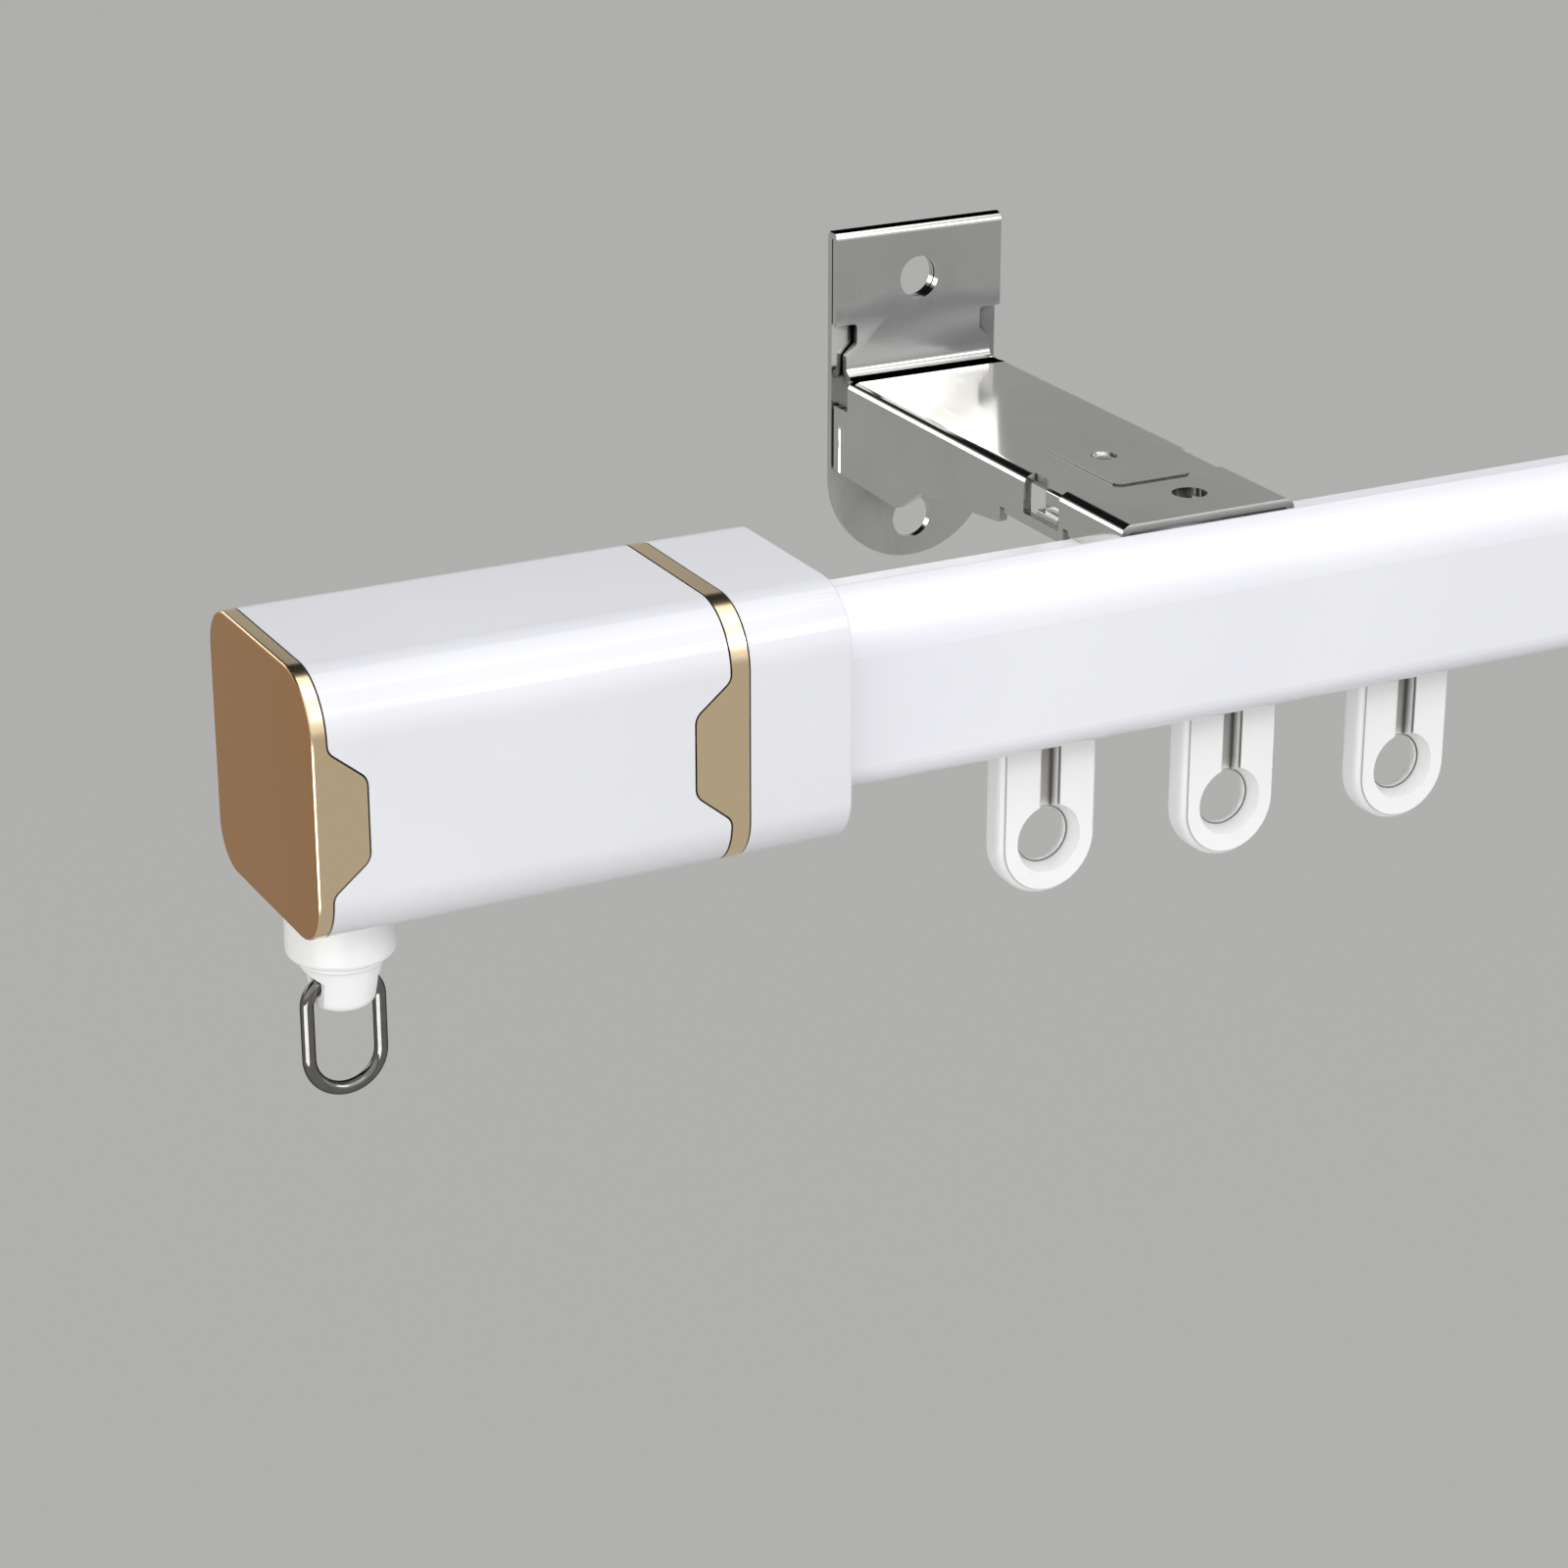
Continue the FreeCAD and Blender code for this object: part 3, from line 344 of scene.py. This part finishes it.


# Brackets. Each is one blank of steel sheet, pressed and folded: a wall plate
# with a hemmed top, an arm with two flanges, and toes that go under the rail's
# hook. It is bright zinc plated, so its bends show light and dark bands; those on
# the hem's crown and in the crease are painted.

# Steel sheet, rolled and zinc plated: a cool bright grey. Its rolling marks are
# drawn 0.35 mm wide so that they show, and painted shade darkens its inner corners.
zinc, tree, shader, place = start_material("bright_zinc_plated_steel")
shader.inputs["Metallic"].default_value = 1.0
cloud = add_node(tree, "ShaderNodeTexNoise", {"Scale": per_metre(14), "Detail": 4.0}, {"Vector": place})
tone = add_node(tree, "ShaderNodeValToRGB", {"stops": [(0.3, "#CDCCC8"), (0.7, "#D3D2CF")]},
                {"Fac": cloud.outputs["Fac"]})
rolled = add_node(tree, "ShaderNodeMapping", {"Scale": (1.0, 0.03, 0.03)}, {"Vector": place})
streaks = add_node(tree, "ShaderNodeTexNoise", {"Scale": per_metre(0.35), "Detail": 2.0},
                   {"Vector": rolled.outputs["Vector"]})
gloss = add_node(tree, "ShaderNodeMapRange", {"To Min": 0.08, "To Max": 0.16},
                 {"Value": streaks.outputs["Fac"]})
bump = add_node(tree, "ShaderNodeBump", {"Strength": 0.03, "Distance": 0.0001},
                {"Height": streaks.outputs["Fac"]})
# Painted shade: occlusion darkens the colour in the inner corners and the holes.
shade = add_node(tree, "ShaderNodeAmbientOcclusion",
                 {"samples": 8, "only_local": True, "Distance": 0.004})
depth = add_node(tree, "ShaderNodeValToRGB", {"stops": [(0.45, "#0A0A0A"), (0.78, "#FFFFFF")]},
                 {"Fac": shade.outputs["AO"]})
corners = add_node(tree, "ShaderNodeMix", {"data_type": "RGBA", "blend_type": "MULTIPLY", "Factor": 1.0})
tree.links.new(tone.outputs["Color"], corners.inputs[6])
tree.links.new(depth.outputs["Color"], corners.inputs[7])
tree.links.new(gloss.outputs["Result"], shader.inputs["Roughness"])

# A painted dark reflection lies on the hem's crown, and painted shade lies in the
# crease where the wall plate turns into the arm. Both are kept dark at a slant too.
# Places are in metres, in the track's frame.
hem_crown = 0.0334
arm_level = 0.0067
crease_front = -0.0068
crease_reach = 0.0019
level_half = 0.0006
sides = add_node(tree, "ShaderNodeSeparateXYZ", {}, {"Vector": place})
crown = add_node(tree, "ShaderNodeMath", {"operation": "GREATER_THAN", 1: hem_crown},
                 {0: sides.outputs["Z"]})
across = add_node(tree, "ShaderNodeMath", {"operation": "COMPARE", 1: crease_front, 2: crease_reach},
                  {0: sides.outputs["Y"]})
level = add_node(tree, "ShaderNodeMath", {"operation": "COMPARE", 1: arm_level, 2: level_half},
                 {0: sides.outputs["Z"]})
crease = add_node(tree, "ShaderNodeMath", {"operation": "MULTIPLY"},
                  {0: across.outputs["Value"], 1: level.outputs["Value"]})
painted_dark_band = add_node(tree, "ShaderNodeMath", {"operation": "MAXIMUM"},
                {0: crown.outputs["Value"], 1: crease.outputs["Value"]})
# Painted dark colour: a painted reflection on the hem's crown and painted shade in the crease.
plated = add_node(tree, "ShaderNodeMix", {"data_type": "RGBA"}, {"Factor": painted_dark_band.outputs["Value"]})
plated.inputs[7].default_value = linear("#101010")
tree.links.new(corners.outputs[2], plated.inputs[6])
tree.links.new(plated.outputs[2], shader.inputs["Base Color"])
painted_band_tint = add_node(tree, "ShaderNodeMix", {"data_type": "RGBA"}, {"Factor": painted_dark_band.outputs["Value"]})
painted_band_tint.inputs[6].default_value = linear("#FFFFFF")
painted_band_tint.inputs[7].default_value = linear("#303030")
tree.links.new(painted_band_tint.outputs[2], shader.inputs["Specular Tint"])

# The wall plate is bowed a little backwards by its hem, so it mirrors the pale
# surround low in front and not the lamps.
bow_slope = -0.07         # forwards for each unit up
plate_front = (-0.0046, -0.0038)
on_plate = add_node(tree, "ShaderNodeMapRange",
                    {"From Min": plate_front[0], "From Max": plate_front[1]},
                    {"Value": sides.outputs["Y"]})
rise = add_node(tree, "ShaderNodeMath",
                {"operation": "MULTIPLY_ADD", 1: bow_slope, 2: -bow_slope * arm_level},
                {0: sides.outputs["Z"]})
bowed = add_node(tree, "ShaderNodeMath", {"operation": "MULTIPLY"},
                 {0: rise.outputs["Value"], 1: on_plate.outputs["Result"]})
bow = add_node(tree, "ShaderNodeBump", {"Strength": 1.0, "Distance": 1.0},
               {"Height": bowed.outputs["Value"]})
tree.links.new(bow.outputs["Normal"], bump.inputs["Normal"])
tree.links.new(bump.outputs["Normal"], shader.inputs["Normal"])

sheet_edge = 0.6          # mm, rounding that pressing and plating leave on cut edges
lead_edge = 1.1           # mm, rounding of the arm's front edge, which rides over the hook
lead_steps = 4
near = 1e-5               # metres
for side in ("left", "right"):
    bracket = merged_copy(side + "_bracket", side + "_bracket_sheet")
    on_top = [vertex.co for vertex in bracket.data.vertices if abs(vertex.co.z - arm_level) < near]
    lead = min(corner.y for corner in on_top)
    select_vertices(bracket, lambda corner: abs(corner.z - arm_level) < near and corner.y < lead + near)
    bpy.ops.mesh.bevel(offset=lead_edge / 1000, segments=lead_steps, affect="EDGES")
    bpy.ops.object.mode_set(mode="OBJECT")
    rounded(bracket, sheet_edge)
    stand_for(bracket, side + "_bracket", "track", zinc)


# Latches. A pressed steel slider under each arm grips the rail's rear flange. It
# is held by a rivet whose end is flush in the arm's pad, and moved by the lips
# that look out of the arm's two windows.

# Rivet end, peened over and left bright, so it catches the light as one white dot.
peened_steel, tree, shader, place = start_material("peened_steel")
shader.inputs["Metallic"].default_value = 1.0
dents = add_node(tree, "ShaderNodeTexNoise", {"Scale": per_metre(0.8), "Detail": 2.0}, {"Vector": place})
tone = add_node(tree, "ShaderNodeValToRGB", {"stops": [(0.3, "#E2E1DE"), (0.7, "#ECEBE8")]},
                {"Fac": dents.outputs["Fac"]})
gloss = add_node(tree, "ShaderNodeMapRange", {"To Min": 0.25, "To Max": 0.4},
                 {"Value": dents.outputs["Fac"]})
bump = add_node(tree, "ShaderNodeBump", {"Strength": 0.1, "Distance": 0.0001},
                {"Height": dents.outputs["Fac"]})
tree.links.new(tone.outputs["Color"], shader.inputs["Base Color"])
tree.links.new(gloss.outputs["Result"], shader.inputs["Roughness"])
tree.links.new(bump.outputs["Normal"], shader.inputs["Normal"])

latch_edge = 0.2          # mm, rounding of the slider's cut edges
arm_sheet = 1.5           # mm, as are the rivet's sizes below
head = 3.5
head_height = 1.2
head_chamfer = 0.4
shank = 1.5
peened = 2.25
peened_round = [(0, 0.6), (0.35, 0.25), (1.0, 0.05), (1.6, 0)]     # inwards, and below its top
rivet_turn = 40           # degrees, the least that its surface turns at an edge
for side in ("left", "right"):
    softened(side + "_latch", side + "_latch_slider", side + "_latch", zinc, latch_edge)
    low, high = (Vector(corner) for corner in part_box(side + "_latch_rivet"))
    top = (high.z - low.z) * 1000
    rings = [(head - head_chamfer, 0), (head, head_chamfer), (head, head_height), (shank, head_height),
             (shank, top - arm_sheet), (peened, top - arm_sheet)]
    rings += [(peened - inwards, top - below) for inwards, below in peened_round]
    rivet = turned(side + "_rivet", rings, ((low.x + high.x) / 2, (low.y + high.y) / 2, low.z))
    bpy.ops.object.shade_smooth_by_angle(angle=radians(rivet_turn))
    stand_for(rivet, side + "_latch_rivet", "track", peened_steel)


# Finial shells and collars. Two white ABS mouldings close each end of the rail:
# the collar is pushed over the rail, and the shell onto the collar's spigot. A
# polished tool gives them an even gloss, and their seams show as dark lines,
# partly real gaps and partly painted shade.

white_abs, tree, shader, place = start_material("gloss_white_abs")
# Painted shade: occlusion darkens the colour at the seams between parts.
shade = add_node(tree, "ShaderNodeAmbientOcclusion", {"samples": 8, "Distance": 0.0005})
depth = add_node(tree, "ShaderNodeValToRGB", {"stops": [(0.2, "#4A423A"), (0.6, "#FFFFFF")]},
                 {"Fac": shade.outputs["AO"]})
shader.inputs["IOR"].default_value = 1.54
cloud = add_node(tree, "ShaderNodeTexNoise", {"Scale": per_metre(25), "Detail": 3.0}, {"Vector": place})
tone = add_node(tree, "ShaderNodeValToRGB", {"stops": [(0.3, "#E2E2E6"), (0.7, "#E5E5E9")]},
                {"Fac": cloud.outputs["Fac"]})
seams = add_node(tree, "ShaderNodeMix", {"data_type": "RGBA", "blend_type": "MULTIPLY", "Factor": 1.0})
gloss = add_node(tree, "ShaderNodeMapRange", {"To Min": 0.07, "To Max": 0.11},
                 {"Value": cloud.outputs["Fac"]})
grain = add_node(tree, "ShaderNodeTexNoise", {"Scale": per_metre(0.9), "Detail": 1.0}, {"Vector": place})
bump = add_node(tree, "ShaderNodeBump", {"Strength": 0.04, "Distance": 0.0001},
                {"Height": grain.outputs["Fac"]})
tree.links.new(tone.outputs["Color"], seams.inputs[6])
tree.links.new(depth.outputs["Color"], seams.inputs[7])
tree.links.new(seams.outputs[2], shader.inputs["Base Color"])
tree.links.new(gloss.outputs["Result"], shader.inputs["Roughness"])
tree.links.new(bump.outputs["Normal"], shader.inputs["Normal"])

moulded_edge = 0.5        # mm, rounding of the shell's and the collar's open edges
for side in ("left", "right"):
    for part in ("shell", "collar"):
        softened(side + "_finial_" + part, side + "_" + part, "track", white_abs,
                 moulded_edge)


# Gold trims. The end plate and the band are ABS, vacuum plated in pale gold. They
# clip into the shell with a tab front and back, and the end plate's outer face is
# etched to a darker satin, whose grain is drawn 0.25 mm wide so that it shows.

gold, tree, shader, place = start_material("gold_plated_abs")
shader.inputs["Metallic"].default_value = 1.0
face_depth = 0.29988      # metres from the track's middle to just inside the end faces
parts = add_node(tree, "ShaderNodeSeparateXYZ", {}, {"Vector": place})
outwards = add_node(tree, "ShaderNodeMath", {"operation": "ABSOLUTE"}, {0: parts.outputs["X"]})
on_face = add_node(tree, "ShaderNodeMath", {"operation": "GREATER_THAN", 1: face_depth},
                   {0: outwards.outputs["Value"]})
grain = add_node(tree, "ShaderNodeTexNoise", {"Scale": per_metre(0.25), "Detail": 2.0}, {"Vector": place})
plating = add_node(tree, "ShaderNodeValToRGB", {"stops": [(0.3, "#F8DDB4"), (0.7, "#FBE3BE")]},
                   {"Fac": grain.outputs["Fac"]})
etched = add_node(tree, "ShaderNodeValToRGB", {"stops": [(0.3, "#BF8E5B"), (0.7, "#C79662")]},
                  {"Fac": grain.outputs["Fac"]})
tone = add_node(tree, "ShaderNodeMix", {"data_type": "RGBA"},
                {"Factor": on_face.outputs["Value"]})
tree.links.new(plating.outputs["Color"], tone.inputs[6])
tree.links.new(etched.outputs["Color"], tone.inputs[7])
gloss = add_node(tree, "ShaderNodeMapRange", {"To Min": 0.2, "To Max": 0.42},
                 {"Value": on_face.outputs["Value"]})
bump = add_node(tree, "ShaderNodeBump", {"Strength": 0.03, "Distance": 0.0001},
                {"Height": grain.outputs["Fac"]})
# Painted shade: occlusion darkens the gold at the seams next to the shell.
shade = add_node(tree, "ShaderNodeAmbientOcclusion", {"samples": 8, "Distance": 0.0008})
depth = add_node(tree, "ShaderNodeValToRGB", {"stops": [(0.3, "#2A1C10"), (0.75, "#FFFFFF")]},
                 {"Fac": shade.outputs["AO"]})
seams = add_node(tree, "ShaderNodeMix", {"data_type": "RGBA", "blend_type": "MULTIPLY", "Factor": 1.0})
tree.links.new(tone.outputs[2], seams.inputs[6])
tree.links.new(depth.outputs["Color"], seams.inputs[7])
tree.links.new(seams.outputs[2], shader.inputs["Base Color"])
tree.links.new(gloss.outputs["Result"], shader.inputs["Roughness"])
tree.links.new(bump.outputs["Normal"], shader.inputs["Normal"])

trim_edge = 0.35          # mm, rounding of the trims' edges at the seams
for side in ("left", "right"):
    softened(side + "_end_plate", side + "_end_trim", "track", gold, trim_edge)
    softened(side + "_trim_band", side + "_band", "track", gold, trim_edge)


# Swivels. A white acetal foot is snapped into the shell's underside, and a boss
# turns in it. The boss has two flats and a flared hole for the ring.

foot_edge = 0.35          # mm, rounding of the foot's edges
boss_edge = 0.3           # mm, rounding of the boss's edges
for side in ("left", "right"):
    softened(side + "_swivel_base", side + "_swivel_foot", "track",
             white_acetal, foot_edge)
    softened(side + "_swivel_eye", side + "_swivel_boss", side + "_swivel",
             white_acetal, boss_edge)


# Rings. Each is an oval of steel wire, bent, butted inside the boss and chromed,
# so it shows a bright line along a dark wire, and its rim stays dark.

chrome, tree, shader, place = start_material("chromed_steel_wire")
shader.inputs["Metallic"].default_value = 1.0
shader.inputs["Specular Tint"].default_value = linear("#101010")
cloud = add_node(tree, "ShaderNodeTexNoise", {"Scale": per_metre(2), "Detail": 3.0}, {"Vector": place})
tone = add_node(tree, "ShaderNodeValToRGB", {"stops": [(0.3, "#7E7C7A"), (0.7, "#888684")]},
                {"Fac": cloud.outputs["Fac"]})
gloss = add_node(tree, "ShaderNodeMapRange", {"To Min": 0.05, "To Max": 0.12},
                 {"Value": cloud.outputs["Fac"]})
tree.links.new(tone.outputs["Color"], shader.inputs["Base Color"])
tree.links.new(gloss.outputs["Result"], shader.inputs["Roughness"])
dress(chrome, "left_hook_ring", "right_hook_ring")


# Studio. A pale floor well below the track, a surround that is bright in front
# and dark high behind, and five soft lamps.

floor_height = -0.4
floor_size = 12.0
backdrop_colour = "#B1B1AF"
even_share = 0.93         # how far the floor's own grey evens out the lamps' fall-off

bpy.ops.mesh.primitive_plane_add(size=floor_size, location=(0, 0, floor_height))
floor = bpy.context.active_object
floor.name = "studio_floor"
floor_paint, tree, shader, place = start_material("studio_floor_paint")
shader.inputs["Base Color"].default_value = linear(backdrop_colour)
shader.inputs["Roughness"].default_value = 0.9
shader.inputs["Specular IOR Level"].default_value = 0.0
path = add_node(tree, "ShaderNodeLightPath", {})
mirrored = add_node(tree, "ShaderNodeMath", {"operation": "MAXIMUM"},
                    {0: path.outputs["Is Glossy Ray"], 1: path.outputs["Is Transmission Ray"]})
seen = add_node(tree, "ShaderNodeMath", {"operation": "MAXIMUM"},
                {0: path.outputs["Is Camera Ray"], 1: mirrored.outputs["Value"]})
share = add_node(tree, "ShaderNodeMath", {"operation": "MULTIPLY", 1: even_share},
                 {0: seen.outputs["Value"]})
even = add_node(tree, "ShaderNodeEmission", {"Color": linear(backdrop_colour), "Strength": 1.0})
blend = add_node(tree, "ShaderNodeMixShader", {},
                 {0: share.outputs["Value"], 1: shader.outputs["BSDF"], 2: even.outputs["Emission"]})
tree.links.new(blend.outputs["Shader"], tree.nodes["Material Output"].inputs["Surface"])
floor.data.materials.append(floor_paint)

# The surround's stops are heights above the horizon, from 0 there to 1 overhead.
world = bpy.data.worlds.new("studio")
bpy.context.scene.world = world
world.use_nodes = True
tree = world.node_tree
around = add_node(tree, "ShaderNodeTexCoord", {})
direction = add_node(tree, "ShaderNodeSeparateXYZ", {}, {"Vector": around.outputs["Generated"]})
front = add_node(tree, "ShaderNodeValToRGB",
                 {"stops": [(0.0, "#AFB0AE"), (0.15, "#F0F1F3"), (1.0, "#F0F1F3")]},
                 {"Fac": direction.outputs["Z"]})
back = add_node(tree, "ShaderNodeValToRGB",
                {"stops": [(0.0, "#AFB0AE"), (0.4, "#A8A8A6"), (0.47, "#141416"), (0.95, "#202022")]},
                {"Fac": direction.outputs["Z"]})
behind = add_node(tree, "ShaderNodeMapRange", {"From Min": -0.1, "From Max": 0.3},
                  {"Value": direction.outputs["Y"]})
sky = add_node(tree, "ShaderNodeMix", {"data_type": "RGBA"}, {"Factor": behind.outputs["Result"]})
tree.links.new(front.outputs["Color"], sky.inputs[6])
tree.links.new(back.outputs["Color"], sky.inputs[7])
surround = tree.nodes["Background"]
surround.inputs["Strength"].default_value = 1.0
tree.links.new(sky.outputs[2], surround.inputs["Color"])


def soft_lamp(name, location, target, width, height, watts):
    """A soft rectangular lamp of this size in metres, aimed at the target."""
    bpy.ops.object.light_add(type="AREA", location=location)
    lamp = bpy.context.active_object
    lamp.name = name
    lamp.data.shape = "RECTANGLE"
    lamp.data.size = width
    lamp.data.size_y = height
    lamp.data.energy = watts
    lamp.rotation_euler = (Vector(target) - Vector(location)).to_track_quat("-Z", "Y").to_euler()


soft_lamp("key_lamp", (-0.1, -1.1, 1.2), (-0.1, -0.1, 0), 1.6, 1.5, 6.4)
soft_lamp("top_lamp", (0, -0.1, 1.3), (0, -0.1, 0), 1.2, 1.0, 4.7)
soft_lamp("front_lamp", (0.9, -1.6, 1.15), (-0.13, 0, 0), 1.0, 0.45, 7.2)
soft_lamp("low_lamp", (-0.68, -0.49, -0.27), (-0.289, -0.0997, -0.06), 0.6, 0.2, 1.35)
soft_lamp("rim_lamp", (-1.0, 1.3, 0.35), (-0.1, -0.05, 0), 0.9, 0.5, 3.4)

# The camera stands to the left of the near end and looks down along the rail.
camera_place = (-0.486937, -0.631651, 0.212188)
camera_down = 21.908
camera_turn = 27.337
bpy.ops.object.camera_add(location=camera_place,
                          rotation=(radians(90 - camera_down), 0, -radians(camera_turn)))
camera = bpy.context.active_object
camera.data.sensor_width = 36.0
camera.data.lens = 91.816
camera.data.clip_start = 0.01
camera.data.clip_end = 50
bpy.context.scene.camera = camera
bpy.context.scene.view_settings.view_transform = "Standard"
